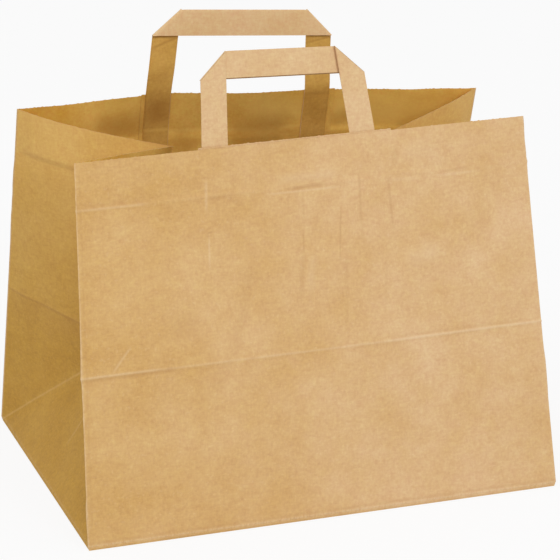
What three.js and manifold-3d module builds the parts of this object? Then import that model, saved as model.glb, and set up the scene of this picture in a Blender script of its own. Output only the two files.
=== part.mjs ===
// A brown paper carrier bag with flat paper handles, standing open.
//
// Millimetres, +Z up. The origin is the middle of the base, on the surface that the bag stands on.
// X runs along the wide front and back panels, -Y is the front, and the side gussets fold inwards.
// A point on the paper is given as it lies on the flat sheet: where it is along a panel or across
// a gusset, and v, how far it is above the base. The gussets' folds follow from those lengths.
import * as THREE from 'three';
import Module from 'manifold-3d';

const wasm = await Module();
wasm.setup();

// The sheet that the bag is folded from
const width = 320;            // front and back panel, along X
const depth = 220;            // side gussets, along Y
const height = 245;           // base to rim, measured along a panel
const paper = 0.15;           // thickness of the kraft paper
const rimCrease = 30;         // packing crease, below the rim
const tuckHeight = 3;         // rolled strip round the base, below the crisp base fold
const tuckInset = 1.2;

// The base: side flaps inside, mitre folds between, front and back flaps glued over them
const baseLayers = 3;
const flapOverlap = 24;       // lap of the back flap over the front flap
const flapMargin = 2;         // the flaps' outlines stop this far inside the base's edges

// How the filled-out bag closes towards its rim: each corner leans in along Y, draws in along X
// and sinks a little as its fold buckles
const frontLeft = { x: -1, y: -1, lean: 42, draw: 5.8, sink: 1.6 };
const frontRight = { x: 1, y: -1, lean: 66, draw: 5.8, sink: 0 };
const backLeft = { x: -1, y: 1, lean: 53.3, draw: 2.3, sink: 0 };
const backRight = { x: 1, y: 1, lean: 75.4, draw: 4.1, sink: 0 };

// How the paper curls between its folds
const frontWaves = [];
const backWaves = [7.1, 1.5, 0.7, 0, -1.8];   // bow of the back rim, in waves of one to five humps
const creaseBow = 1.5;        // both panels push out along the crease at half the depth
const gussetSlack = 2.5;      // each half gusset is this much shorter across than its paper
const leftBelly = 9;          // the back half of each gusset bellies out at the rim
const rightBelly = 4;

// Handles: one flat tape each, folded over on a slant at both shoulders. Feet and knees are measured
// along the rim from the panel's middle, and rises from the rim to the underside of the bar
const tapeWidth = 17.4;
const tapeThickness = 0.5;    // several layers of paper
const legReach = 46;          // glued length of a leg, below the rim
const bendStart = 2.5;        // a leg leaves the plane of its panel this far above the rim
const foldGrip = 0.05;        // how far leg and bar are pressed into each other at a fold
const frontHandle = {
  lean: 14,
  leftFoot: -61.7,
  leftKnee: -59.3,
  leftRise: 41.4,
  rightFoot: 39.2,
  rightKnee: 35,
  rightRise: 38.2,
};
const backHandle = {
  lean: 0,
  leftFoot: -61.6,
  leftKnee: -57.9,
  leftRise: 41,
  rightFoot: 46.1,
  rightKnee: 46,
  rightRise: 37.7,
};

// Reinforcing patches, between each panel and the legs of its handle
const patchLeft = -73;
const patchRight = 59;
const patchDrop = 53;         // lower edge, below the rim
const patchLip = 1;           // upper edge, above the rim
const patchPaper = 0.2;
const glueGap = 0.3;          // left free between pieces that lie on each other

// Fineness of the grid
const panelColumns = 24;
const creaseRows = 5;         // rows up to the crease, and columns across half a gusset
const middleRows = 4;         // rows from there to the packing crease

const halfDepth = depth / 2;
const gridStep = halfDepth / creaseRows;
const creaseHeight = height - rimCrease;
const baseThickness = baseLayers * paper;
const patchOffset = paper + glueGap;
const legOffset = patchOffset + patchPaper + glueGap;

const bagColour = 0xd8ae7b;
const handleColour = 0xdbb787;
const patchColour = 0xcda36a;

function mix(a, b, t) {
  return a.clone().lerp(b, t);
}

// The vertical fold where a panel meets a gusset
function cornerFold(corner, v) {
  const rise = Math.sqrt(height ** 2 - corner.lean ** 2 - corner.draw ** 2) - corner.sink;
  const t = v / height;
  return new THREE.Vector3(
    corner.x * (width / 2 - corner.draw * t),
    corner.y * (halfDepth - corner.lean * t),
    rise * t,
  );
}

// The point at a given distance from each of three others, on the side of the bag's middle
function meetingPoint(centres, reaches) {
  const [a, b, c] = centres;
  const [ra, rb, rc] = reaches;
  const along = b.clone().sub(a);
  const span = along.length();
  along.normalize();
  const across = c.clone().sub(a);
  const i = along.dot(across);
  across.addScaledVector(along, -i);
  const j = across.length();
  across.normalize();
  const x = (ra ** 2 - rb ** 2 + span ** 2) / (2 * span);
  const y = (ra ** 2 - rc ** 2 + i ** 2 + j ** 2 - 2 * i * x) / (2 * j);
  const away = Math.sqrt(Math.max(ra ** 2 - x ** 2 - y ** 2, 0));
  const foot = a.clone().addScaledVector(along, x).addScaledVector(across, y);
  const normal = along.clone().cross(across);
  const one = foot.clone().addScaledVector(normal, away);
  const other = foot.clone().addScaledVector(normal, -away);
  return Math.abs(one.x) < Math.abs(other.x) ? one : other;
}

// A gusset's middle fold runs from the apex, where its lower folds meet, up to the rim
function makeGusset(front, back, belly) {
  const baseMiddle = mix(cornerFold(front, 0), cornerFold(back, 0), 0.5);
  const reach = halfDepth - gussetSlack;
  const apex = meetingPoint(
    [cornerFold(front, halfDepth), cornerFold(back, halfDepth), baseMiddle],
    [reach, reach, halfDepth],
  );
  const top = meetingPoint(
    [cornerFold(front, height), cornerFold(back, height), apex],
    [reach, reach, height - halfDepth],
  );
  return { front, back, apex, top, belly };
}

// A point of a gusset: w runs across the sheet from its front fold, 0, to its back fold, depth
function gussetPoint(gusset, w, v) {
  const inBack = w > halfDepth;
  const corner = inBack ? gusset.back : gusset.front;
  const across = inBack ? depth - w : w;
  const low = cornerFold(corner, 0);
  if (v <= halfDepth) {
    // Three flat triangles meet at the apex: one rises from the base edge, two from the corners
    const turn = v <= across ? new THREE.Vector3(low.x, 0, 0) : cornerFold(corner, halfDepth);
    const first = turn.clone().sub(low).multiplyScalar(Math.max(across, v) / halfDepth);
    const second = gusset.apex.clone().sub(turn).multiplyScalar(Math.min(across, v) / halfDepth);
    return low.add(first).add(second);
  }
  const t = (v - halfDepth) / (height - halfDepth);
  const middle = mix(gusset.apex, gusset.top, t);
  const edge = cornerFold(corner, v);
  const point = mix(edge, middle, across / halfDepth);
  if (inBack) {
    const outward = middle.clone().sub(edge).cross(gusset.top.clone().sub(gusset.apex)).normalize();
    if (outward.x * corner.x < 0) outward.negate();
    point.addScaledVector(outward, gusset.belly * t * Math.sin(Math.PI * across / halfDepth));
  }
  return point;
}

function makePanel(left, right, waves) {
  const along = cornerFold(right, height).sub(cornerFold(left, height));
  const rimLength = along.length();
  along.normalize();
  const up = mix(cornerFold(left, height), cornerFold(right, height), 0.5);
  up.sub(mix(cornerFold(left, 0), cornerFold(right, 0), 0.5)).normalize();
  const outward = along.clone().cross(up).multiplyScalar(-left.y).normalize();
  return { left, right, waves, along, up, outward, rimLength };
}

// A point of a panel: s runs from 0 at its left edge to 1 at its right edge, seen from the front
function panelPoint(panel, s, v) {
  const tent = v < halfDepth ? v / halfDepth : (height - v) / (height - halfDepth);
  const waves = panel.waves.reduce((sum, size, k) => sum + size * Math.sin((k + 1) * Math.PI * s), 0);
  const bow = creaseBow * Math.sin(Math.PI * s) * tent + waves * (v / height) ** 2;
  return mix(cornerFold(panel.left, v), cornerFold(panel.right, v), s).addScaledVector(panel.outward, bow);
}

const leftGusset = makeGusset(frontLeft, backLeft, leftBelly);
const rightGusset = makeGusset(frontRight, backRight, rightBelly);
const frontPanel = makePanel(frontLeft, frontRight, frontWaves);
const backPanel = makePanel(backLeft, backRight, backWaves);

function makeRows() {
  const rows = [tuckHeight];
  for (let k = 1; k <= creaseRows; k += 1) rows.push(k * gridStep);
  for (let k = 1; k <= middleRows; k += 1) {
    rows.push(halfDepth + (creaseHeight - halfDepth) * k / middleRows);
  }
  rows.push(height);
  return rows;
}

const rows = makeRows();

// A point on the flat facets that the grid makes of a panel: a is measured along the rim from the
// panel's middle, offset is how far the point lies inside the paper's outer face
function facetPoint(panel, a, v, offset) {
  const place = (0.5 + a / panel.rimLength) * panelColumns;
  const column = Math.min(Math.max(Math.floor(place), 0), panelColumns - 1);
  const within = Math.min(v, height);
  let row = 0;
  while (row < rows.length - 2 && rows[row + 1] < within) row += 1;
  const t = (within - rows[row]) / (rows[row + 1] - rows[row]);
  const low = column / panelColumns;
  const high = (column + 1) / panelColumns;
  const lower = mix(panelPoint(panel, low, rows[row]), panelPoint(panel, high, rows[row]), place - column);
  const upper = mix(
    panelPoint(panel, low, rows[row + 1]),
    panelPoint(panel, high, rows[row + 1]),
    place - column,
  );
  const point = mix(lower, upper, t).addScaledVector(panel.up, v - within);
  return point.addScaledVector(panel.outward, -offset);
}

// Collects points and triangles of one closed mesh
class Skin {
  constructor() {
    this.points = [];
    this.triangles = [];
  }

  add(point) {
    this.points.push(point);
    return this.points.length - 1;
  }

  triangle(a, b, c) {
    this.triangles.push([a, b, c]);
  }

  // Two triangles, split along the diagonal from a to c
  quad(a, b, c, d) {
    this.triangle(a, b, c);
    this.triangle(a, c, d);
  }

  solid() {
    const vertProperties = new Float32Array(this.points.flatMap((p) => [p.x, p.y, p.z]));
    const triVerts = new Uint32Array(this.triangles.flat());
    return new wasm.Manifold(new wasm.Mesh({ numProp: 3, vertProperties, triVerts }));
  }
}

function solidFromGeometry(geometry) {
  const skin = new Skin();
  const known = new Map();
  const position = geometry.getAttribute('position');
  const corners = [];
  for (let k = 0; k < position.count; k += 1) {
    const point = new THREE.Vector3().fromBufferAttribute(position, k);
    const key = point.toArray().map((value) => value.toFixed(4)).join(' ');
    if (!known.has(key)) known.set(key, skin.add(point));
    corners.push(known.get(key));
  }
  const order = geometry.index ? Array.from(geometry.index.array, (k) => corners[k]) : corners;
  for (let k = 0; k < order.length; k += 3) skin.triangle(order[k], order[k + 1], order[k + 2]);
  return skin.solid();
}

function geometryFromSolid(solid) {
  const { vertProperties, triVerts, numProp } = solid.getMesh();
  const position = [];
  for (let k = 0; k < vertProperties.length; k += numProp) {
    position.push(vertProperties[k], vertProperties[k + 1], vertProperties[k + 2]);
  }
  const geometry = new THREE.BufferGeometry();
  geometry.setAttribute('position', new THREE.Float32BufferAttribute(position, 3));
  geometry.setIndex(Array.from(triVerts));
  geometry.computeVertexNormals();
  return geometry;
}

// How far each outer point moves to lie one paper thickness behind all the faces that meet there
function inwardShifts(points, triangles) {
  const sums = points.map(() => ({ matrix: new Array(9).fill(0), vector: new THREE.Vector3() }));
  for (const corners of triangles) {
    const [a, b, c] = corners.map((k) => points[k]);
    const normal = b.clone().sub(a).cross(c.clone().sub(a)).normalize();
    const n = normal.toArray();
    for (const k of corners) {
      for (let e = 0; e < 9; e += 1) sums[k].matrix[e] += n[Math.floor(e / 3)] * n[e % 3];
      sums[k].vector.addScaledVector(normal, -paper);
    }
  }
  const softening = 0.01;
  return sums.map(({ matrix, vector }) => {
    for (const e of [0, 4, 8]) matrix[e] += softening;
    return vector.clone().applyMatrix3(new THREE.Matrix3().set(...matrix).invert());
  });
}

// Every vertical line of the grid, anticlockwise from the front left corner, seen from above
function makeColumns() {
  const columns = [];
  const halfGusset = creaseRows;
  const gussetColumns = (gusset, fromFront) => {
    for (let k = 1; k < 2 * halfGusset; k += 1) {
      const w = fromFront ? k * gridStep : depth - k * gridStep;
      columns.push({ at: (v) => gussetPoint(gusset, w, v), rising: k < halfGusset });
    }
  };
  for (let k = 0; k <= panelColumns; k += 1) {
    columns.push({ at: (v) => panelPoint(frontPanel, k / panelColumns, v), rising: true });
  }
  gussetColumns(rightGusset, true);
  for (let k = panelColumns; k >= 0; k -= 1) {
    columns.push({ at: (v) => panelPoint(backPanel, k / panelColumns, v), rising: true });
  }
  gussetColumns(leftGusset, false);
  return columns;
}

// The rolled strip's lower edge, just inside the base fold
function tuckedPoint(column) {
  const point = column.at(tuckHeight);
  point.x -= Math.sign(point.x) * tuckInset * (Math.abs(point.x) > width / 2 - tuckInset ? 1 : 0);
  point.y -= Math.sign(point.y) * tuckInset * (Math.abs(point.y) > halfDepth - tuckInset ? 1 : 0);
  return point.setZ(0);
}

// Walls as one folded skin: its outer face, its inner face, the cut rim and both faces of the base
function makeWalls() {
  const skin = new Skin();
  const columns = makeColumns();
  const count = columns.length;
  const outer = [columns.map((column) => skin.add(tuckedPoint(column)))];
  for (const v of rows) outer.push(columns.map((column) => skin.add(column.at(v))));
  for (let r = 0; r + 1 < outer.length; r += 1) {
    for (let c = 0; c < count; c += 1) {
      const d = (c + 1) % count;
      const corners = [outer[r][c], outer[r][d], outer[r + 1][d], outer[r + 1][c]];
      if (columns[c].rising) skin.quad(...corners);
      else skin.quad(corners[1], corners[2], corners[3], corners[0]);
    }
  }
  const wall = skin.triangles.slice();
  const outerCount = skin.points.length;
  const shifts = inwardShifts(skin.points, wall);
  for (let k = 0; k < outerCount; k += 1) skin.add(skin.points[k].clone().add(shifts[k]));
  for (const k of outer[0]) {
    const inner = skin.points[k + outerCount];
    inner.copy(mix(inner, skin.points[k + outerCount + count], baseThickness / tuckHeight));
    inner.z = baseThickness;
  }
  for (const [a, b, c] of wall) skin.triangle(a + outerCount, c + outerCount, b + outerCount);
  const rim = outer[outer.length - 1];
  const under = skin.add(new THREE.Vector3());
  const over = skin.add(new THREE.Vector3(0, 0, baseThickness));
  for (let c = 0; c < count; c += 1) {
    const d = (c + 1) % count;
    skin.quad(rim[c], rim[d], rim[d] + outerCount, rim[c] + outerCount);
    skin.triangle(outer[0][d], outer[0][c], under);
    skin.triangle(outer[0][c] + outerCount, outer[0][d] + outerCount, over);
  }
  return skin.solid();
}

function slab(outline, low, high) {
  const shape = new THREE.Shape(outline.map(([x, y]) => new THREE.Vector2(x, y)));
  const geometry = new THREE.ExtrudeGeometry(shape, { depth: high - low, bevelEnabled: false });
  return solidFromGeometry(geometry.translate(0, 0, low));
}

// The room under the front flap, which slopes up to slip beneath the back flap's edge
function frontFlapRoom(clearance) {
  const lap = flapOverlap / 2;
  const edgeX = width / 2 - flapMargin;
  const edgeY = halfDepth - flapMargin;
  const apexX = width / 2 - halfDepth;
  const outline = [
    [-edgeX, -edgeY], [edgeX, -edgeY],
    [apexX + lap, -lap], [apexX, 0], [apexX - lap, -lap],
    [lap - apexX, -lap], [-apexX, 0], [-apexX - lap, -lap],
  ];
  const profile = new THREE.Shape([
    new THREE.Vector2(-edgeY, -clearance), new THREE.Vector2(lap, -clearance),
    new THREE.Vector2(lap, paper), new THREE.Vector2(-lap, paper), new THREE.Vector2(-edgeY, 0),
  ]);
  const wedge = new THREE.ExtrudeGeometry(profile, { depth: width, bevelEnabled: false });
  const turn = new THREE.Matrix4().makeBasis(
    new THREE.Vector3(0, 1, 0),
    new THREE.Vector3(0, 0, 1),
    new THREE.Vector3(1, 0, 0),
  );
  wedge.applyMatrix4(turn).translate(-width / 2, 0, 0);
  return solidFromGeometry(wedge).intersect(slab(outline, -clearance, clearance));
}

// The glued layers of the base, as the steps that they leave above and below
function cutBaseSteps(walls) {
  const clearance = 1;
  const edgeX = width / 2 - flapMargin;
  const edgeY = halfDepth - flapMargin;
  const apexX = width / 2 - halfDepth;
  let base = walls.subtract(frontFlapRoom(clearance));
  for (const side of [-1, 1]) {
    const outline = [[side * edgeX, -edgeY * side], [side * edgeX, edgeY * side], [side * apexX, 0]];
    base = base.subtract(slab(outline, -clearance, 2 * paper));
  }
  const gapX = apexX - flapOverlap / 2;
  if (gapX > 0) {
    const outline = [[-gapX, -edgeY], [gapX, -edgeY], [gapX, edgeY], [-gapX, edgeY]];
    base = base.subtract(slab(outline, baseThickness - paper, baseThickness + clearance));
  }
  return base;
}

// A band of paper: each station holds the outer and the inner point of its left and right edges
function makeBand(stations) {
  const skin = new Skin();
  const rings = stations.map(({ left, right }) => {
    const ring = [left[0], right[0], right[1], left[1]];
    return ring.map((point) => skin.add(point));
  });
  for (let k = 0; k + 1 < rings.length; k += 1) {
    for (let e = 0; e < 4; e += 1) {
      const f = (e + 1) % 4;
      skin.quad(rings[k][e], rings[k][f], rings[k + 1][f], rings[k + 1][e]);
    }
  }
  const first = rings[0];
  const last = rings[rings.length - 1];
  skin.quad(first[3], first[2], first[1], first[0]);
  skin.quad(last[0], last[1], last[2], last[3]);
  return skin.solid();
}

// The slanting fold over a leg's top: the leg's outer edge turns into the bar's lower edge, and its
// inner edge into the bar's top edge
function makeShoulder(foot, knee, rise, side, barTurn) {
  const inner = new THREE.Vector2(knee + side * tapeWidth / 2, rise);
  const alongLeg = new THREE.Vector2((knee - foot) / rise, 1);
  const alongBar = new THREE.Vector2(Math.cos(barTurn), Math.sin(barTurn));
  const slant = alongLeg.y * alongBar.x - alongLeg.x * alongBar.y;
  return {
    outer: inner.clone().addScaledVector(alongBar, -side * tapeWidth / slant),
    top: inner.clone().addScaledVector(alongLeg, tapeWidth / slant),
  };
}

// A handle: two legs glued inside the panel, and a bar folded back behind them
function makeHandle(panel, sizes) {
  const isFront = panel === frontPanel;
  const facing = isFront ? 1 : -1;
  const turn = facing * THREE.MathUtils.degToRad(sizes.lean);
  const along = panel.along;
  const up = new THREE.Vector3(0, Math.sin(turn), Math.cos(turn));
  up.addScaledVector(along, -up.dot(along)).normalize();
  const outward = along.clone().cross(up).multiplyScalar(facing);
  const bend = height + bendStart;
  const middle = mix(
    facetPoint(panel, sizes.leftFoot, bend, legOffset),
    facetPoint(panel, sizes.rightFoot, bend, legOffset),
    0.5,
  );
  const middleFoot = (sizes.leftFoot + sizes.rightFoot) / 2;

  // Both faces of the tape at a point of the panel, and at a point of the free plane above it
  const faces = (near, direction, inside) => {
    const outer = near.clone().addScaledVector(direction, -inside);
    return [outer, outer.clone().addScaledVector(direction, -tapeThickness)];
  };
  const gluedEdge = (a, b) => faces(facetPoint(panel, a, height + b, legOffset), panel.outward, 0);
  const freeEdge = (place, inside) => {
    const near = middle.clone().addScaledVector(along, place.x - middleFoot);
    return faces(near.addScaledVector(up, place.y - bendStart), outward, inside);
  };

  const barTurn = Math.atan2(sizes.rightRise - sizes.leftRise, sizes.rightKnee - sizes.leftKnee);
  const left = makeShoulder(sizes.leftFoot, sizes.leftKnee, sizes.leftRise, 1, barTurn);
  const right = makeShoulder(sizes.rightFoot, sizes.rightKnee, sizes.rightRise, -1, barTurn);
  const makeLeg = (foot, knee, rise, leftEnd, rightEnd) => {
    const stations = [-legReach, -rimCrease, 0, bendStart].map((b) => {
      const a = foot + (knee - foot) * Math.max(b, 0) / rise;
      return { left: gluedEdge(a - tapeWidth / 2, b), right: gluedEdge(a + tapeWidth / 2, b) };
    });
    stations.push({ left: freeEdge(leftEnd, 0), right: freeEdge(rightEnd, 0) });
    return stations;
  };
  const behind = tapeThickness - foldGrip;
  const bands = [
    makeLeg(sizes.leftFoot, sizes.leftKnee, sizes.leftRise, left.outer, left.top),
    [left, right].map(({ outer, top }) => {
      return { left: freeEdge(top, behind), right: freeEdge(outer, behind) };
    }),
    makeLeg(sizes.rightFoot, sizes.rightKnee, sizes.rightRise, right.top, right.outer),
  ];
  return bands
    .map((stations) => makeBand(isFront ? stations : swapEdges(stations)))
    .reduce((whole, band) => whole.add(band));
}

// Seen from behind, left and right change places
function swapEdges(stations) {
  return stations.map(({ left, right }) => ({ left: right, right: left }));
}

// A patch: a strip of paper that follows the facets of its panel
function makePatch(panel) {
  const isFront = panel === frontPanel;
  const places = [patchLeft];
  for (let k = 0; k <= panelColumns; k += 1) {
    const a = (k / panelColumns - 0.5) * panel.rimLength;
    if (a > patchLeft + paper && a < patchRight - paper) places.push(a);
  }
  places.push(patchRight);
  const levels = [height - patchDrop, creaseHeight, height, height + patchLip];
  const skin = new Skin();
  const face = (offset) => levels.map((v) => places.map((a) => skin.add(facetPoint(panel, a, v, offset))));
  const near = face(patchOffset);
  const far = face(patchOffset + patchPaper);
  const [outside, inside] = isFront ? [near, far] : [far, near];
  const top = levels.length - 1;
  const end = places.length - 1;
  for (let r = 0; r < top; r += 1) {
    for (let c = 0; c < end; c += 1) {
      skin.quad(outside[r][c], outside[r][c + 1], outside[r + 1][c + 1], outside[r + 1][c]);
      skin.quad(inside[r][c], inside[r + 1][c], inside[r + 1][c + 1], inside[r][c + 1]);
    }
    skin.quad(outside[r][0], outside[r + 1][0], inside[r + 1][0], inside[r][0]);
    skin.quad(inside[r][end], inside[r + 1][end], outside[r + 1][end], outside[r][end]);
  }
  for (let c = 0; c < end; c += 1) {
    skin.quad(outside[0][c + 1], outside[0][c], inside[0][c], inside[0][c + 1]);
    skin.quad(inside[top][c + 1], inside[top][c], outside[top][c], outside[top][c + 1]);
  }
  return skin.solid();
}

function namedMesh(name, solid, color, roughness) {
  const material = new THREE.MeshStandardMaterial({ color, roughness, metalness: 0 });
  const mesh = new THREE.Mesh(geometryFromSolid(solid), material);
  mesh.name = name;
  return mesh;
}

const bag = new THREE.Group();
bag.add(
  namedMesh('bag_body', cutBaseSteps(makeWalls()), bagColour, 0.85),
  namedMesh('front_handle', makeHandle(frontPanel, frontHandle), handleColour, 0.8),
  namedMesh('back_handle', makeHandle(backPanel, backHandle), handleColour, 0.8),
  namedMesh('front_handle_patch', makePatch(frontPanel), patchColour, 0.85),
  namedMesh('back_handle_patch', makePatch(backPanel), patchColour, 0.85),
);

export default bag;
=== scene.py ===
"""A brown kraft paper carrier bag with flat folded paper handles, on a pale studio floor.

Metres, +Z up, the front is -Y. A point of the bag's paper is named by its place on the flat sheet:
u runs round the bag from the front left corner, anticlockwise seen from above, and v runs up from
the base. The folds, the creases and the marks of handling follow from those two lengths.
"""

import math

import bpy
import numpy as np
from mathutils import Matrix


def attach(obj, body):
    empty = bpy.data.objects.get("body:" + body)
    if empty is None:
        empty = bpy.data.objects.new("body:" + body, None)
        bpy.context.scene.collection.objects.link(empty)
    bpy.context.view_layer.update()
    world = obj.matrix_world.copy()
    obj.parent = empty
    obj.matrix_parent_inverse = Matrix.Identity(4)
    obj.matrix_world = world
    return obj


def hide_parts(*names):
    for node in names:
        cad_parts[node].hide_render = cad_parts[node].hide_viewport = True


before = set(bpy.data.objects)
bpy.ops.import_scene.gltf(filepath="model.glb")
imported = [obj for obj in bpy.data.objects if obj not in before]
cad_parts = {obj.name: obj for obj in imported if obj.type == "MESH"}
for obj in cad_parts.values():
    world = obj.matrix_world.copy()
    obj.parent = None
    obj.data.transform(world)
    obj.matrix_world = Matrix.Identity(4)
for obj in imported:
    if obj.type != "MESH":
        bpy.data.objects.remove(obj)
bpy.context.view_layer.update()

# The sheet that the bag is folded from
WIDTH = 0.320
DEPTH = 0.220
HEIGHT = 0.245
PAPER = 0.00015
RIM_CREASE = 0.030            # packing crease, below the rim
TUCK_HEIGHT = 0.003           # rolled strip below the base fold
TUCK_INSET = 0.0012
HALF = DEPTH / 2
GIRTH = 2 * (WIDTH + DEPTH)
CREASE_HEIGHT = HEIGHT - RIM_CREASE
HALF_GIRTH = GIRTH / 2
RIGHT_START = WIDTH           # u where each gusset and the back panel start
BACK_START = WIDTH + DEPTH
LEFT_START = 2 * WIDTH + DEPTH
CORNER_FOLDS = (0, RIGHT_START, BACK_START, LEFT_START, GIRTH)
MIDDLE_FOLDS = (WIDTH + HALF, 2 * WIDTH + 3 * HALF)
OFF_SHEET = (-1.0, -1.0)      # sheet place of points that don't belong to the bag's walls

# How the corners close towards the rim: leaning in along Y, drawn in along X and sinking a little
FRONT_LEFT = {"x": -1, "y": -1, "lean": 0.0420, "draw": 0.0058, "sink": 0.0016}
FRONT_RIGHT = {"x": 1, "y": -1, "lean": 0.0660, "draw": 0.0058, "sink": 0}
BACK_LEFT = {"x": -1, "y": 1, "lean": 0.0533, "draw": 0.0023, "sink": 0}
BACK_RIGHT = {"x": 1, "y": 1, "lean": 0.0754, "draw": 0.0041, "sink": 0}

# How the paper curls between its folds
BACK_WAVES = (0.0071, 0.0015, 0.0007, 0.0, -0.0018)
CREASE_BOW = 0.0015
GUSSET_SLACK = 0.0025
LEFT_BELLY = 0.009
RIGHT_BELLY = 0.004
FOLD_ROUNDING = 0.0009        # half width of the paper's turn at a fold

# The base's flaps
FLAP_LAP = 0.012              # reach of each flap beyond the base's middle line
FLAP_GAP = 0.038              # half of the gap between the side flaps, inside

# Handles and patches, measured along the rim from the panel's middle and up from the rim
TAPE_WIDTH = 0.0174
TAPE_THICKNESS = 0.0005
LEG_REACH = 0.046
FOLD_BULGE = 0.0003           # how far the tape rounds out over a fold,
FOLD_DRAW = 0.0002            # from a line drawn in by this much
BEND_START = 0.0025           # height above the rim where the tape leaves the panel's surface,
BEND_END = 0.0225             # and where it lies in one plane
FRONT_HANDLE = {
    "lean": 14, "left_foot": -0.0617, "left_knee": -0.0593, "left_rise": 0.0414,
    "right_foot": 0.0392, "right_knee": 0.0350, "right_rise": 0.0382,
    "left_gap": 0.0001, "right_gap": 0.0007,
}
BACK_HANDLE = {
    "lean": 0, "left_foot": -0.0616, "left_knee": -0.0579, "left_rise": 0.0410,
    "right_foot": 0.0461, "right_knee": 0.0460, "right_rise": 0.0377,
    "left_gap": 0.0012, "right_gap": 0.0010,
}
PATCH_LEFT = -0.073
PATCH_RIGHT = 0.059
PATCH_DROP = 0.053
PATCH_LIP = 0.001
PATCH_PAPER = 0.0002
PATCH_OFFSET = 0.00045        # the patch's outer face lies this far inside the panel's outer face
LEG_OFFSET = 0.00095          # and the legs' outer face lies this far inside it

# The knife's teeth along each cut edge
TOOTH_PITCH = 0.0027
TOOTH_DEPTH = 0.0005
TOOTH_SEED = 21


def add_object(name, data, axes=None, place=(0, 0, 0)):
    """A new object of the scene, with its own X, Y and Z along the given axes."""
    thing = bpy.data.objects.new(name, data)
    bpy.context.scene.collection.objects.link(thing)
    if axes is not None:
        turn = Matrix(np.column_stack(axes).tolist()).to_4x4()
        turn.translation = place
        thing.matrix_world = turn
    return thing


# Points and directions, as arrays whose last axis is X, Y, Z

def unit(vectors):
    return vectors / np.maximum(np.linalg.norm(vectors, axis=-1, keepdims=True), 1e-12)


def smooth_step(x, start, end):
    t = np.clip((x - start) / (end - start), 0, 1)
    return t * t * (3 - 2 * t)


def hump(x, middle, spread):
    return np.exp(-((x - middle) / spread) ** 2)


def corner_fold(corner, v):
    """The vertical fold where a panel meets a gusset."""
    rise = math.sqrt(HEIGHT ** 2 - corner["lean"] ** 2 - corner["draw"] ** 2) - corner["sink"]
    t = np.asarray(v, float) / HEIGHT
    return np.stack([
        corner["x"] * (WIDTH / 2 - corner["draw"] * t),
        corner["y"] * (HALF - corner["lean"] * t),
        rise * t,
    ], -1)


def meeting_point(centres, reaches):
    """The point at given distances from three others, on the side of the bag's middle."""
    a, b, c = centres
    ra, rb, rc = reaches
    along = unit(b - a)
    span = np.linalg.norm(b - a)
    i = along @ (c - a)
    across = (c - a) - along * i
    j = np.linalg.norm(across)
    across = across / j
    x = (ra ** 2 - rb ** 2 + span ** 2) / (2 * span)
    y = (ra ** 2 - rc ** 2 + i ** 2 + j ** 2 - 2 * i * x) / (2 * j)
    away = math.sqrt(max(ra ** 2 - x ** 2 - y ** 2, 0))
    foot = a + along * x + across * y
    normal = np.cross(along, across)
    return min(foot + normal * away, foot - normal * away, key=lambda point: abs(point[0]))


def make_gusset(front, back, belly):
    """A gusset's middle fold runs from the apex, where its lower folds meet, up to the rim."""
    reach = HALF - GUSSET_SLACK
    base_middle = (corner_fold(front, 0) + corner_fold(back, 0)) / 2
    apex = meeting_point(
        [corner_fold(front, HALF), corner_fold(back, HALF), base_middle], [reach, reach, HALF])
    top = meeting_point(
        [corner_fold(front, HEIGHT), corner_fold(back, HEIGHT), apex],
        [reach, reach, HEIGHT - HALF])
    return {"front": front, "back": back, "apex": apex, "top": top, "belly": belly}


def half_gusset(gusset, corner, across, v, belly):
    """Points of the half of a gusset that starts from one corner's fold."""
    low = corner_fold(corner, 0)
    low_side = (v <= across)[..., None]
    turn = np.where(low_side, [low[0], 0, 0], corner_fold(corner, HALF))
    first = (turn - low) * (np.maximum(across, v) / HALF)[..., None]
    second = (gusset["apex"] - turn) * (np.minimum(across, v) / HALF)[..., None]
    t = ((v - HALF) / (HEIGHT - HALF))[..., None]
    middle = gusset["apex"] + (gusset["top"] - gusset["apex"]) * t
    edge = corner_fold(corner, v)
    share = (across / HALF)[..., None]
    outward = unit(np.cross(middle - edge, gusset["top"] - gusset["apex"]))
    outward = outward * np.sign(outward[..., :1] * corner["x"])
    upper = edge + (middle - edge) * share + outward * belly * t * np.sin(math.pi * share)
    return np.where((v <= HALF)[..., None], low + first + second, upper)


def gusset_point(gusset, w, v):
    """A point of a gusset: w runs across from its front fold, 0, to its back fold, DEPTH."""
    front = half_gusset(gusset, gusset["front"], w, v, 0)
    back = half_gusset(gusset, gusset["back"], DEPTH - w, v, gusset["belly"])
    return np.where((w > HALF)[..., None], back, front)


def make_panel(left, right, waves, facing):
    span = corner_fold(right, HEIGHT) - corner_fold(left, HEIGHT)
    along = unit(span)
    up = unit(corner_fold(left, HEIGHT) + corner_fold(right, HEIGHT)
              - corner_fold(left, 0) - corner_fold(right, 0))
    outward = unit(np.cross(along, up)) * facing
    return {
        "left": left, "right": right, "waves": waves, "facing": facing,
        "along": along, "up": up, "outward": outward, "rim": np.linalg.norm(span),
    }


def panel_point(panel, s, v):
    """A point of a panel: s runs from its left edge, 0, to its right edge, 1, from the front."""
    tent = np.clip(np.where(v < HALF, v / HALF, (HEIGHT - v) / (HEIGHT - HALF)), 0, 1)
    waves = sum(size * np.sin((k + 1) * math.pi * s) for k, size in enumerate(panel["waves"]))
    bow = CREASE_BOW * np.sin(math.pi * s) * tent + waves * (v / HEIGHT) ** 2
    left = corner_fold(panel["left"], v)
    right = corner_fold(panel["right"], v)
    return left + (right - left) * s[..., None] + panel["outward"] * bow[..., None]


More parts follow.
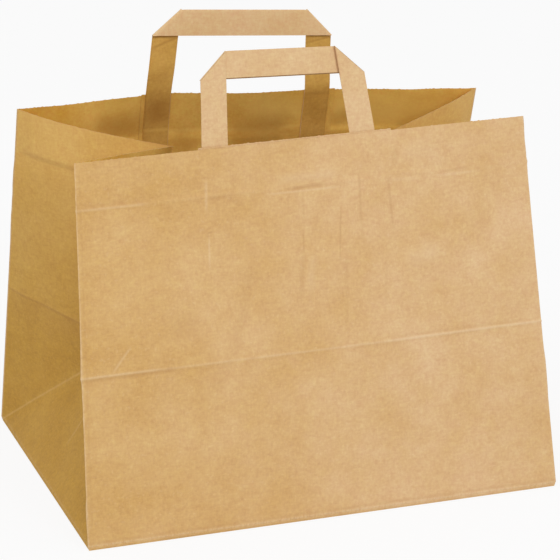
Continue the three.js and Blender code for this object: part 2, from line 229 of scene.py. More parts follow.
LEFT_GUSSET = make_gusset(FRONT_LEFT, BACK_LEFT, LEFT_BELLY)
RIGHT_GUSSET = make_gusset(FRONT_RIGHT, BACK_RIGHT, RIGHT_BELLY)
FRONT_PANEL = make_panel(FRONT_LEFT, FRONT_RIGHT, (), 1)
BACK_PANEL = make_panel(BACK_LEFT, BACK_RIGHT, BACK_WAVES, -1)


def folded_sheet(u, v):
    """The crisply folded bag, before its folds are rounded."""
    u = np.mod(u, GIRTH)
    v = np.maximum(v, 0)
    point = panel_point(FRONT_PANEL, u / WIDTH, v)
    right = gusset_point(RIGHT_GUSSET, u - WIDTH, v)
    back = panel_point(BACK_PANEL, 1 - (u - WIDTH - DEPTH) / WIDTH, v)
    left = gusset_point(LEFT_GUSSET, GIRTH - u, v)
    point = np.where((u > RIGHT_START)[..., None], right, point)
    point = np.where((u > BACK_START)[..., None], back, point)
    return np.where((u > LEFT_START)[..., None], left, point)


def rounded_sheet(u, v):
    """The folded bag with every fold turned over a small radius."""
    total = 0
    weights = 0
    for du, wu in ((-1, 1), (-0.5, 2), (0, 3), (0.5, 2), (1, 1)):
        for dv, wv in ((-1, 1), (-0.5, 2), (0, 3), (0.5, 2), (1, 1)):
            total = total + wu * wv * folded_sheet(u + du * FOLD_ROUNDING, v + dv * FOLD_ROUNDING)
            weights += wu * wv
    return total / weights


# Relief of the paper, and the pale lines of its folds and creases: rubbed wear and painted
# highlight

# Cockle: the size of its cells, and its height
COCKLE = ((0.062, 0.00060), (0.027, 0.00050), (0.012, 0.00026), (0.0055, 0.00008))

# Bands round the sheet: height, or paleness of rubbed wear and painted highlight, place up the
# sheet, half width
HALF_RIDGE = (0.00055, HALF, 0.0014)
HALF_HOLLOW = (-0.00025, HALF - 0.004, 0.0035)
RIM_RIDGE = (0.00045, CREASE_HEIGHT, 0.0013)
RIM_HOLLOW = (-0.00022, CREASE_HEIGHT + 0.0032, 0.0022)
HALF_RUB_AND_HIGHLIGHT = (0.12, HALF, 0.0011)
RIM_RUB_AND_HIGHLIGHT = (0.08, CREASE_HEIGHT, 0.0010)
BASE_RUB_AND_HIGHLIGHT = (0.5, TUCK_HEIGHT, 0.0008)

# Paleness of the upright folds, rubbed wear and painted highlight, and its half width
CORNER_RUB_AND_HIGHLIGHT = (0.6, 0.0009)
MIDDLE_RUB_AND_HIGHLIGHT = (0.5, 0.0010)

# The paper above the packing crease stands out, most on the gussets and not at all on the front
SHELF = 0.0017
SHELF_TURN = 0.0030           # half height of its slope
SHELF_ON_BACK = 0.6
SHELF_FADE = 0.016            # reach of its fade beside the corner folds

# The gussets swell at half the depth
SWELL = 0.0022
SWELL_BELOW = 0.018
SWELL_ABOVE = 0.045
SWELL_FADE = 0.02

FOLD_FADE = 0.012             # inward relief fades over this width beside a corner fold
PATCH_STEP = 0.00016          # how far a patch and a leg stand out through the panel
LEG_STEP = 0.00020


def value_noise(u, v, size, seed):
    """Smooth random values of about -1 to 1 on cells of the given size, joined up round the bag."""
    around = max(round(GIRTH / size), 1)
    up = int(HEIGHT / size) + 4
    grid = np.random.default_rng(seed).uniform(-1, 1, (around, up))
    x = np.mod(u, GIRTH) / GIRTH * around
    y = np.clip(v / size + 1, 0, up - 1.001)
    i = np.floor(x).astype(int)
    j = np.floor(y).astype(int)
    fx = smooth_step(x - i, 0, 1)
    fy = smooth_step(y - j, 0, 1)
    low = grid[i % around, j] * (1 - fx) + grid[(i + 1) % around, j] * fx
    high = grid[i % around, j + 1] * (1 - fx) + grid[(i + 1) % around, j + 1] * fx
    return low * (1 - fy) + high * fy


def line_distance(u, v, start, end):
    """How far a point of the sheet lies from a line, and how much of the line it is beside."""
    du, dv = end[0] - start[0], end[1] - start[1]
    length = math.hypot(du, dv)
    along = ((u - start[0]) * du + (v - start[1]) * dv) / length
    across = ((u - start[0]) * dv - (v - start[1]) * du) / length
    fade = min(0.3 * length, 0.008)
    before_end = 1 - smooth_step(along, length - fade, length + fade)
    return across, smooth_step(along, -fade, fade) * before_end


# Marks of handling on the front panel: where each starts and ends on the sheet, its half width, and
# its tone: above 0 a ridge painted pale, partly rubbed and partly painted highlight, below 0 a
# trough painted with shade
MARKS = (
    ((0.0886, 0.2247), (0.0879, 0.2069), 0.0011, 0.55),
    ((0.0887, 0.1897), (0.0880, 0.1708), 0.0007, 0.6),
    ((0.0878, 0.1924), (0.0913, 0.1927), 0.0007, -0.8),
    ((0.0894, 0.2133), (0.1041, 0.2138), 0.0016, -0.5),
    ((0.1040, 0.2125), (0.1135, 0.2069), 0.0016, -0.3),
    ((0.1397, 0.2208), (0.1781, 0.2209), 0.0035, 0.4),
    ((0.1463, 0.2141), (0.1705, 0.2150), 0.0014, -0.75),
    ((0.1335, 0.2122), (0.1774, 0.2122), 0.0008, 0.55),
    ((0.1545, 0.2099), (0.1548, 0.1940), 0.0011, -0.35),
    ((0.1539, 0.1861), (0.1535, 0.1730), 0.0006, -0.6),
    ((0.1532, 0.1717), (0.1499, 0.1447), 0.0018, -0.45),
    ((0.1814, 0.1992), (0.1783, 0.1677), 0.0006, -0.55),
    ((0.1957, 0.2184), (0.1951, 0.1884), 0.0010, -0.5),
    ((0.1953, 0.1904), (0.1958, 0.1751), 0.0012, -0.25),
    ((0.2162, 0.2143), (0.2175, 0.1834), 0.0010, -0.5),
    ((0.2184, 0.2158), (0.2407, 0.2148), 0.0012, -0.3),
    ((0.2175, 0.2128), (0.2383, 0.2121), 0.0012, 0.35),
    ((0.2573, 0.2145), (0.2785, 0.2161), 0.0009, -0.5),
    ((0.2535, 0.2122), (0.2804, 0.2125), 0.0010, 0.45),
    ((0.2227, 0.2319), (0.2225, 0.2218), 0.0022, -0.35),
    ((0.0319, 0.1256), (0.0211, 0.1123), 0.0008, 0.6),
    ((0.0298, 0.1252), (0.0191, 0.1119), 0.0012, -0.25),
    ((0.1829, 0.1639), (0.1796, 0.1213), 0.0016, -0.25),
    ((0.2110, 0.1609), (0.2088, 0.1350), 0.0016, -0.2),
    ((0.1595, 0.1710), (0.1558, 0.1486), 0.0030, 0.35),
    ((0.0608, 0.1326), (0.0787, 0.1357), 0.0080, -0.35),
    ((0.1179, 0.1670), (0.1029, 0.1145), 0.0040, -0.25),
    ((0.1029, 0.1145), (0.0879, 0.0934), 0.0040, -0.25),
    ((0.2266, 0.1606), (0.2449, 0.1652), 0.0070, 0.35),
    ((0.2291, 0.2306), (0.2480, 0.2321), 0.0060, 0.3),
    ((0.0000, 0.1103), (0.0520, 0.1103), 0.0009, 0.7),
    ((0.0000, 0.1084), (0.0620, 0.1087), 0.0014, -0.55),
    ((0.0520, 0.1101), (0.1150, 0.1101), 0.0008, 0.35),
    ((0.1150, 0.1100), (0.2050, 0.1100), 0.0008, 0.45),
    ((0.2050, 0.1101), (0.3190, 0.1101), 0.0010, 0.75),
    ((0.2150, 0.1120), (0.3050, 0.1120), 0.0012, -0.35),
    ((0.0020, 0.2150), (0.0460, 0.2148), 0.0009, 0.45),
    ((0.0020, 0.2169), (0.0500, 0.2166), 0.0015, -0.35),
    ((0.0034, 0.0100), (0.0034, 0.2400), 0.0007, -0.25),
    ((0.0020, 0.0048), (0.3180, 0.0048), 0.0012, -0.35),
)
MARK_SLOPE = 0.35             # height of a mark for each half width, at tone 1
FINE_MARK = 0.001             # marks narrower than this are only seen as lines

# Painted lines on the gussets: pale along the slanting folds where the lower corners turn in,
# partly rubbed and partly painted highlight, and painted shade below the crease at half the depth
GUSSET_HIGHLIGHT_AND_SHADE = (
    ((LEFT_START, 0), (LEFT_START + HALF, HALF), 0.0009, 0.7),
    ((GIRTH, 0), (GIRTH - HALF, HALF), 0.0009, 0.15),
    ((RIGHT_START, 0), (WIDTH + HALF, HALF), 0.0009, 0.5),
    ((BACK_START, 0), (WIDTH + HALF, HALF), 0.0009, 0.7),
    ((LEFT_START, HALF - 0.0012), (GIRTH, HALF - 0.0012), 0.0014, -0.55),
    ((LEFT_START, HALF - 0.0080), (GIRTH, HALF - 0.0080), 0.0090, -0.25),
    ((RIGHT_START, HALF - 0.0012), (BACK_START, HALF - 0.0012), 0.0014, -0.55),
)

# Painted shadow and highlight on the tapes: shadows beside and under the bar's ends, shade on the
# back legs inside the bag, and the dark and pale sides of creases. Places along the rim from the
# panel's middle, and up from the rim
FRONT_TAPE_PAINTED_SHADOW = (
    ((0.0261, 0.0376), (0.0243, 0.0562), 0.0007, -1.8),
)
BACK_TAPE_SHADE_AND_HIGHLIGHT = (
    ((-0.0680, 0.0403), (-0.0480, 0.0407), 0.0010, -1.6),
    ((0.0370, 0.0371), (0.0560, 0.0369), 0.0010, -1.6),
    ((-0.0670, 0.0325), (-0.0490, 0.0402), 0.0010, -0.9),
    ((0.0375, 0.0322), (0.0550, 0.0362), 0.0009, -0.8),
    ((-0.0616, -0.0040), (-0.0616, -0.0200), 0.0090, -1.0),
    ((-0.0710, -0.0260), (-0.0520, -0.0260), 0.0014, 0.8),
    ((0.0380, -0.0020), (0.0560, -0.0020), 0.0014, -0.6),
)

# Painted light and shade inside, on the back panel: a shaded band in the packing crease's groove
# with a highlight above it, painted shade between the handle's legs, and pale golden pools of
# painted light
INSIDE_PAINTED_LIGHT_AND_SHADE = (
    ((0.6437, 0.2140), (0.7147, 0.2140), 0.0030, -0.9),
    ((0.6400, 0.2178), (0.7600, 0.2178), 0.0015, 0.9),
    ((0.7450, 0.2168), (0.7750, 0.2168), 0.0015, 0.9),
    ((0.7720, 0.2220), (0.8040, 0.2270), 0.0100, -0.9),
    ((0.6740, 0.2150), (0.7100, 0.2180), 0.0110, -1.0),
    ((0.7350, 0.2050), (0.7500, 0.2150), 0.0090, -0.7),
    ((0.6280, 0.2250), (0.6400, 0.2200), 0.0060, -0.9),
    ((0.7750, 0.2390), (0.8020, 0.2390), 0.0050, 0.9),
    ((0.6500, 0.2300), (0.7000, 0.2340), 0.0100, 1.2),
    ((0.5600, 0.2250), (0.6400, 0.2280), 0.0160, 1.5),
)


def patch_relief(u, v, panel_start, mirrored):
    """The low step that the patch and the legs press into a panel."""
    middle = panel_start + WIDTH / 2
    a = (u - middle) * (-1 if mirrored else 1)
    soft = 0.0014
    handle = BACK_HANDLE if mirrored else FRONT_HANDLE

    def inside(left, right, drop):
        after_left = smooth_step(a, left - soft, left + soft)
        before_right = 1 - smooth_step(a, right - soft, right + soft)
        above = smooth_step(v, HEIGHT - drop - soft, HEIGHT - drop + soft)
        return after_left * before_right * above

    relief = PATCH_STEP * inside(PATCH_LEFT, PATCH_RIGHT, PATCH_DROP)
    for foot in (handle["left_foot"], handle["right_foot"]):
        relief = relief + LEG_STEP * inside(foot - TAPE_WIDTH / 2, foot + TAPE_WIDTH / 2, LEG_REACH)
    on_panel = (u > panel_start) & (u < panel_start + WIDTH)
    return np.where(on_panel, relief, 0)


def crease_parts(u, v):
    """Uneven strength of the crease at half the depth, and of the packing crease."""
    half_strength = 0.65 + 0.35 * value_noise(u, v * 0, 0.021, 11)
    return half_strength, 0.7 + 0.3 * value_noise(u, v * 0, 0.013, 12)


def band(v, height, place, spread):
    return height * hump(v, place, spread)


def relief(u, v):
    """How far the paper stands out from its rounded folds."""
    u = np.mod(u, GIRTH)
    on_gusset = ((u > RIGHT_START) & (u < BACK_START)) | (u > LEFT_START)
    on_back = (u > BACK_START) & (u < LEFT_START)
    from_fold = np.min([np.abs(u - fold) for fold in CORNER_FOLDS], 0)
    half_strength, rim_strength = crease_parts(u, v)
    cells = enumerate(COCKLE, 1)
    out = sum(height * value_noise(u, v, size, seed) for seed, (size, height) in cells)
    out = out * smooth_step(v, 0.002, 0.03)
    out = out + half_strength * band(v, *HALF_RIDGE) + band(v, *HALF_HOLLOW)
    shelf = SHELF * smooth_step(v, CREASE_HEIGHT - SHELF_TURN, CREASE_HEIGHT + SHELF_TURN)
    shelf = shelf * (1 - 0.5 * smooth_step(v, CREASE_HEIGHT, HEIGHT))
    share = np.where(on_gusset, 1, np.where(on_back, SHELF_ON_BACK, 0))
    share = share * smooth_step(from_fold, 0, SHELF_FADE)
    rim = rim_strength * (band(v, *RIM_RIDGE) + band(v, *RIM_HOLLOW))
    out = out + share * shelf + (1 - share) * rim
    for start, end, spread, tone in MARKS:
        if spread >= FINE_MARK:
            across, beside = line_distance(u, v, start, end)
            out = out + MARK_SLOPE * spread * tone * hump(across, 0, spread) * beside
    swell = SWELL * np.exp(-np.abs(v - HALF) / np.where(v < HALF, SWELL_BELOW, SWELL_ABOVE))
    out = out + np.where(on_gusset, swell, 0) * smooth_step(from_fold, 0, SWELL_FADE)
    out = out + patch_relief(u, v, 0, False) + patch_relief(u, v, BACK_START, True)
    # Beside a sharp corner fold, paper pressed inwards would pass through the paper behind it
    return np.maximum(out, 0) + np.minimum(out, 0) * smooth_step(from_fold, 0, FOLD_FADE)


def fold_rub_and_highlight(u, v):
    """Where folds and creases are painted pale, 0 to 1: partly rubbed paper, partly painted
    highlight where the fold's turn catches the light.
    """
    u = np.mod(u, GIRTH)
    half_strength, rim_strength = crease_parts(u, v)
    rub_and_highlight = half_strength * band(v, *HALF_RUB_AND_HIGHLIGHT) + rim_strength * band(v, *RIM_RUB_AND_HIGHLIGHT)
    rub_and_highlight = rub_and_highlight + band(v, *BASE_RUB_AND_HIGHLIGHT)
    for fold in CORNER_FOLDS:
        rub_and_highlight = rub_and_highlight + CORNER_RUB_AND_HIGHLIGHT[0] * hump(u, fold, CORNER_RUB_AND_HIGHLIGHT[1])
    for start in (RIGHT_START, LEFT_START):
        w = u - start
        across = np.minimum(w, DEPTH - w)
        on_fold = (w > 0) & (w < DEPTH) & (v > 0.3 * HALF)
        rub_and_highlight = rub_and_highlight + MIDDLE_RUB_AND_HIGHLIGHT[0] * hump(across, HALF, MIDDLE_RUB_AND_HIGHLIGHT[1]) * on_fold
    return np.clip(rub_and_highlight, 0, 1)


def tuck(points, v):
    """Draws the strip below the base fold in, down to the base."""
    shoulder = 0.00035
    below = np.clip((TUCK_HEIGHT - v) / TUCK_HEIGHT, 0, 1)[..., None]
    inset = shoulder * smooth_step(below, 0, 0.2) + (TUCK_INSET - shoulder) * below ** 2
    shrink = np.concatenate([1 - inset / (WIDTH / 2), 1 - inset / HALF, np.ones_like(inset)], -1)
    return points * shrink


def surface(u, v):
    """The outer face of the paper and the direction that it faces."""
    step = 0.0004
    run = rounded_sheet(u + step, v) - rounded_sheet(u - step, v)
    rise = rounded_sheet(u, v + step) - rounded_sheet(u, v - step)
    outward = unit(np.cross(run, rise))
    points = rounded_sheet(u, v) + outward * relief(u, v)[..., None]
    return tuck(points, v), outward


# Grids of the bag's paper

def fine_marks(places, offsets, low, high):
    """Extra grid lines beside each fold, so that its turn is smooth."""
    marks = [place + side * offset for place in places for offset in offsets for side in (-1, 1)]
    return [mark for mark in marks if low <= mark <= high]


def thin_out(marks, least):
    """The sorted marks without those that lie almost on each other."""
    kept = []
    for mark in sorted(marks):
        if not kept or mark - kept[-1] > least:
            kept.append(mark)
    return np.array(kept)


def column_places():
    """Grid places round the bag, finest in the front's creased middle and beside each fold."""
    right_middle, left_middle = MIDDLE_FOLDS
    stretches = (
        (0, 0.080, 1), (0.080, 0.250, 0.5), (0.250, RIGHT_START, 1),
        (RIGHT_START, right_middle, 1.3), (right_middle, BACK_START, 1.3),
        (BACK_START, LEFT_START, 1), (LEFT_START, left_middle, 1.3), (left_middle, GIRTH, 1.3),
    )
    places = []
    for start, end, coarseness in stretches:
        count = round((end - start) / (coarseness * TOOTH_PITCH))
        places += list(start + (end - start) * np.arange(count) / count)
    places += fine_marks((*CORNER_FOLDS, *MIDDLE_FOLDS), (0.0004, 0.0009, 0.0016), 0, GIRTH)
    return thin_out(places, 0.0002)


def row_places():
    """Grid places up the sheet, fine beside the base fold and the creases."""
    low = list(np.linspace(TUCK_HEIGHT, HALF - 0.006, 17))
    high = list(np.linspace(HALF + 0.006, HEIGHT - TOOTH_DEPTH, 56))
    base = [0, 0.0007, 0.0014, 0.0020, 0.0024, 0.0027, 0.0034, 0.0040, 0.0052]
    near_half = fine_marks([HALF], (0, 0.0005, 0.0011, 0.0018, 0.0028), 0, HEIGHT)
    near_rim = fine_marks([CREASE_HEIGHT], (0, 0.0006, 0.0013, 0.0021, 0.0032), 0, HEIGHT)
    return thin_out(low + high + base + near_half + near_rim, 0.0003)


SHARP_DEGREES = 35            # edges that turn more than this are shaded sharp


class Pieces:
    """Collects the points, the paleness of folds (rubbed wear and painted highlight), sheet places,
    faces and materials of one mesh.
    """

    def __init__(self):
        self.points = []
        self.rub_and_highlight = []
        self.places = []
        self.faces = []
        self.materials = []

    def add_points(self, points, rub_and_highlight, places=OFF_SHEET):
        start = len(self.points)
        points = np.asarray(points, float).reshape(-1, 3)
        rub_and_highlight = np.broadcast_to(np.asarray(rub_and_highlight, float).reshape(-1), (len(points),))
        places = np.broadcast_to(np.asarray(places, float).reshape(-1, 2), (len(points), 2))
        self.points.extend(points.tolist())
        self.rub_and_highlight.extend(rub_and_highlight.tolist())
        self.places.extend(places.tolist())
        return start

    def face(self, corners, material=0):
        self.faces.append(tuple(int(corner) for corner in corners))
        self.materials.append(material)

    def build(self, name, materials, replaced):
        mesh = bpy.data.meshes.new(name)
        mesh.from_pydata(self.points, [], self.faces)
        for material in materials:
            mesh.materials.append(material)
        mesh.polygons.foreach_set("material_index", np.array(self.materials, np.int32))
        mesh.shade_smooth()
        mesh.set_sharp_from_angle(angle=math.radians(SHARP_DEGREES))
        rub_and_highlight = mesh.attributes.new("fold_rub_and_highlight", "FLOAT", "POINT")
        rub_and_highlight.data.foreach_set("value", np.array(self.rub_and_highlight, np.float32))
        sheet = mesh.attributes.new("sheet", "FLOAT_VECTOR", "CORNER")
        sheet.data.foreach_set("vector", self.corner_places().astype(np.float32).ravel())
        mesh.update()
        piece = add_object(name, mesh)
        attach(piece, "root")
        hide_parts(replaced)
        return piece

    def corner_places(self):
        """The sheet place of each face corner, kept in step where a face spans the sheet's seam."""
        sizes = [len(corners) for corners in self.faces]
        places = np.array(self.places)[np.concatenate([list(corners) for corners in self.faces])]
        starts = np.cumsum([0, *sizes[:-1]])
        furthest = np.repeat(np.maximum.reduceat(places[:, 0], starts), sizes)
        places[:, 0] += np.where(places[:, 0] < furthest - HALF_GIRTH, GIRTH, 0)
        return np.column_stack([places, np.zeros(len(places))])


def add_sheet(pieces, outer, inner, rub_and_highlight, places, material_at, ring):
    """A thin sheet from a grid of outer and inner points, rows upwards, with a toothed top edge.

    material_at gives the materials of the outer face, the inner face and the edges at a column.
    """
    rows, columns = outer.shape[:2]
    out_start = pieces.add_points(outer, rub_and_highlight, places)
    in_start = pieces.add_points(inner, rub_and_highlight, places)

    def out(r, c):
        return out_start + r * columns + c % columns

    def inn(r, c):
        return in_start + r * columns + c % columns

    last = columns if ring else columns - 1
    heights = TOOTH_DEPTH * np.random.default_rng(TOOTH_SEED).uniform(0.1, 1, last) ** 2
    for c in range(last):
        outside, inside, edge = material_at(c)
        for r in range(rows - 1):
            pieces.face((out(r, c), out(r, c + 1), out(r + 1, c + 1), out(r + 1, c)), outside)
            pieces.face((inn(r, c), inn(r + 1, c), inn(r + 1, c + 1), inn(r, c + 1)), inside)
        pieces.face((out(0, c + 1), out(0, c), inn(0, c), inn(0, c + 1)), edge)
        top = rows - 1
        d = (c + 1) % columns
        width = np.linalg.norm(outer[top, d] - outer[top, c])
        rise = heights[c] * min(width / TOOTH_PITCH, 1)
        up = unit(outer[top, c] - outer[top - 1, c]) * rise
        tip_out, tip_in = (
            pieces.add_points((face[top, c] + face[top, d]) / 2 + up, rub_and_highlight[top, c], places[top, c])
            for face in (outer, inner))
        pieces.face((out(top, c), out(top, c + 1), tip_out), outside)
        pieces.face((inn(top, c + 1), inn(top, c), tip_in), inside)
        pieces.face((tip_out, out(top, c + 1), inn(top, c + 1), tip_in), edge)
        pieces.face((out(top, c), tip_out, tip_in, inn(top, c)), edge)
    if not ring:
        edge = material_at(0)[2]
        end = columns - 1
        for r in range(rows - 1):
            pieces.face((out(r, 0), out(r + 1, 0), inn(r + 1, 0), inn(r, 0)), edge)
            pieces.face((out(r + 1, end), out(r, end), inn(r, end), inn(r + 1, end)), edge)


def add_plate(pieces, outline, low_at, under, over):
    """A flap of the base from its outline, anticlockwise seen from above.

    low_at gives its lower face's height, and under and over are its materials below and above.
    """
    low = [(x, y, low_at(x, y)) for x, y in outline]
    high = [(x, y, z + PAPER) for x, y, z in low]
    start = pieces.add_points(low + high, 0)
    count = len(outline)
    pieces.face([start + k for k in reversed(range(count))], under)
    pieces.face([start + count + k for k in range(count)], over)
    for k in range(count):
        m = (k + 1) % count
        pieces.face((start + k, start + m, start + count + m, start + count + k), over)


def add_base(pieces):
    """The block bottom: side flaps inside, the front flap under them and the back flap lowest."""
    edge_x = WIDTH / 2 - TUCK_INSET
    edge_y = HALF - TUCK_INSET
    apex_x = WIDTH / 2 - HALF
    lap = FLAP_LAP
    back = [
        (-edge_x, edge_y), (-apex_x, 0), (lap - apex_x, -lap),
        (apex_x - lap, -lap), (apex_x, 0), (edge_x, edge_y),
    ]
    front = [
        (edge_x, -edge_y), (apex_x, 0), (apex_x - lap, lap),
        (lap - apex_x, lap), (-apex_x, 0), (-edge_x, -edge_y),
    ]
    add_plate(pieces, back, lambda x, y: 0.0, 0, 2)
    add_plate(pieces, front, lambda x, y: PAPER * smooth_step(y, -edge_y, -lap), 0, 2)
    for side in (-1, 1):
        outline = [(side * edge_x, -edge_y), (side * edge_x, edge_y), (side * FLAP_GAP, edge_y),
                   (side * FLAP_GAP, -edge_y)]
        if side < 0:
            outline.reverse()
        add_plate(pieces, outline, lambda x, y: 2 * PAPER, 2, 2)


def make_bag(materials):
    u, v = np.meshgrid(column_places(), row_places())
    outer, outward = surface(u, v)
    inner = outer - outward * PAPER
    inner[0, :, 2] = outer[0, :, 2] + PAPER
    pieces = Pieces()
    places = u[0]

    def material_at(c):
        turn = 0.0016
        on_right = RIGHT_START + turn <= places[c] < BACK_START - turn
        on_gusset = on_right or LEFT_START + turn <= places[c] < GIRTH - turn
        return (1 if on_gusset else 0, 2, 3)

    add_sheet(pieces, outer, inner, fold_rub_and_highlight(u, v), np.stack([u, v], -1), material_at, True)
    add_base(pieces)
    return pieces.build("paper_bag", materials, "bag_body")


def panel_place(panel, a):
    """A distance along the rim from a panel's middle, as a share of its width and as a u."""
    s = 0.5 + a / panel["rim"]
    return s, WIDTH * s if panel is FRONT_PANEL else BACK_START + WIDTH * (1 - s)


def panel_surface(panel, a, v):
    """Outer face of a panel, at a distance a along the rim from its middle, and its direction."""
    step = 0.0004
    s, u = panel_place(panel, a)
    within = np.minimum(v, HEIGHT)
    ds = step / WIDTH
    run = panel_point(panel, s + ds, within) - panel_point(panel, s - ds, within)
    rise = panel_point(panel, s, within) - panel_point(panel, s, within - step)
    outward = unit(np.cross(run, rise)) * panel["facing"]
    points = panel_point(panel, s, within) + outward * relief(u, within)[..., None]
    return points + panel["up"] * (v - within)[..., None], outward


def make_patch(name, panel, materials, replaced):
    """The patch between a panel and its handle's legs.

    The first material is that of its face towards the bag's inside, and the second that of its
    face towards the panel and of its edges.
    """
    count = round((PATCH_RIGHT - PATCH_LEFT) / TOOTH_PITCH)
    places = np.linspace(PATCH_LEFT, PATCH_RIGHT, count + 1)
    top = HEIGHT + PATCH_LIP - TOOTH_DEPTH
    levels = np.concatenate([np.linspace(HEIGHT - PATCH_DROP, HEIGHT, 24), [top]])
    a, v = np.meshgrid(places, levels)
    face, outward = panel_surface(panel, a, v)
    near = face - outward * PATCH_OFFSET
    far = near - outward * PATCH_PAPER
    if panel is FRONT_PANEL:
        outside, inside, kinds = near, far, (1, 0, 1)
    else:
        outside, inside, kinds = far, near, (0, 1, 1)
    sheet = np.stack([panel_place(panel, a)[1], v], -1)
    pieces = Pieces()
    add_sheet(pieces, outside, inside, np.zeros_like(a), sheet, lambda c: kinds, False)
    return pieces.build(name, materials, replaced)


# Handles: one tape, folded back at 45 degrees at both shoulders

def tape_section():
    """Outline of the folded tape, and which of its sides show the dark line, painted as the shadow
    in the gap between its cut layers.

    The tape's first edge has two cut layers, a little apart, and its last edge is a rounded fold.
    """
    half = TAPE_WIDTH / 2
    thick = TAPE_THICKNESS / 2
    slit = 0.00004
    set_back = 0.0007
    slit_depth = 0.0016
    across = np.linspace(-half, half - thick, 9)
    outline = [(-half, slit), (-half, thick)]
    outline += [(q, thick) for q in across[1:]]
    for turn in np.linspace(math.pi / 2, -math.pi / 2, 6)[1:-1]:
        outline.append((half - thick + thick * math.cos(turn), thick * math.sin(turn)))
    outline += [(q, -thick) for q in across[:0:-1]]
    outline += [(-half + set_back, -thick), (-half + set_back, -slit)]
    outline += [(-half + slit_depth, -slit / 2), (-half + slit_depth, slit / 2)]
    # The cut layers' sides, painted dark as the shadow in the gap between them
    glued = {0, *range(len(outline) - 4, len(outline))}
    under = range(1 + len(across) + 4, len(outline) - 4)
    return np.array(outline[::-1]), count_back(glued, len(outline)), count_back(under, len(outline))


def count_back(sides, count):
    """The same sides of an outline after its points have been put in reverse order."""
    return {(count - 2 - side) % count for side in sides}


